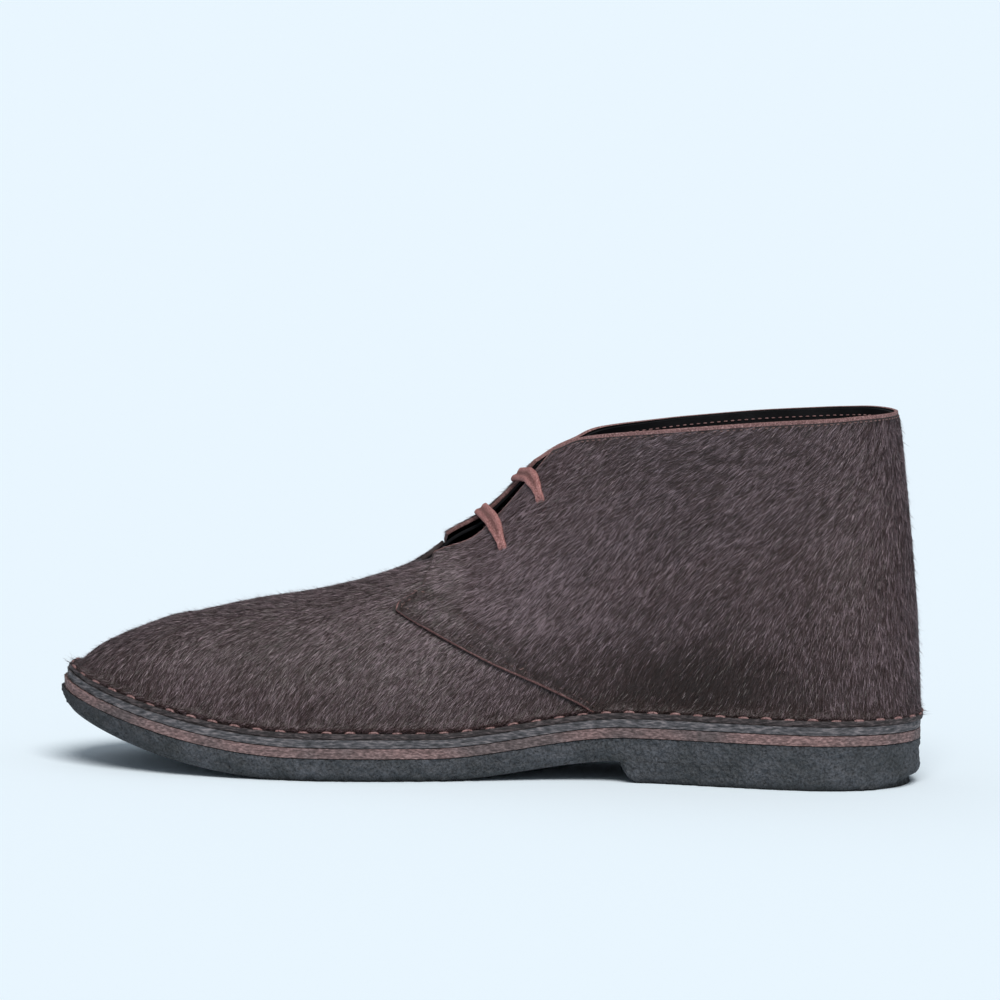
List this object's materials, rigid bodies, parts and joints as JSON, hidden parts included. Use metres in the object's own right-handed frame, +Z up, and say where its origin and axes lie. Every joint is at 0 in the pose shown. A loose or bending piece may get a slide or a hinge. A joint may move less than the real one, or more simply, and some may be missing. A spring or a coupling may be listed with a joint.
{
  "type": "chukka boot",
  "caption": "Ankle-high chukka boot for the right foot, with hairy leather upper, short open lacing and layered crepe sole.",
  "frame": {"origin": "on the floor, under the middle of the heel", "axes": "+X to the toe, +Y to the inner side of the foot, +Z up"},
  "size_m": [0.3004, 0.1024, 0.128],
  "materials": {
    "crepe": "dark slate natural crepe rubber, rough and granular",
    "midsole_leather": "raw leather board edge, pinkish brown",
    "runner": "dark grey cut edge",
    "lining": "smooth black lining leather",
    "hair_leather": "dark brown hair-on hide with a short nap",
    "lace": "dusty pinkish-brown suede lace",
    "raw_edge": "raw cut leather edge",
    "thread": "waxed reddish-brown sewing thread"
  },
  "bodies": {
    "root": {"heel_lift": "crepe", "outsole": "crepe", "midsole": "midsole_leather", "runner": "runner", "insole": "lining", "upper": "hair_leather", "tongue": "hair_leather", "lace_lower": "lace", "lace_upper": "lace"}
  },
  "joints": []
}
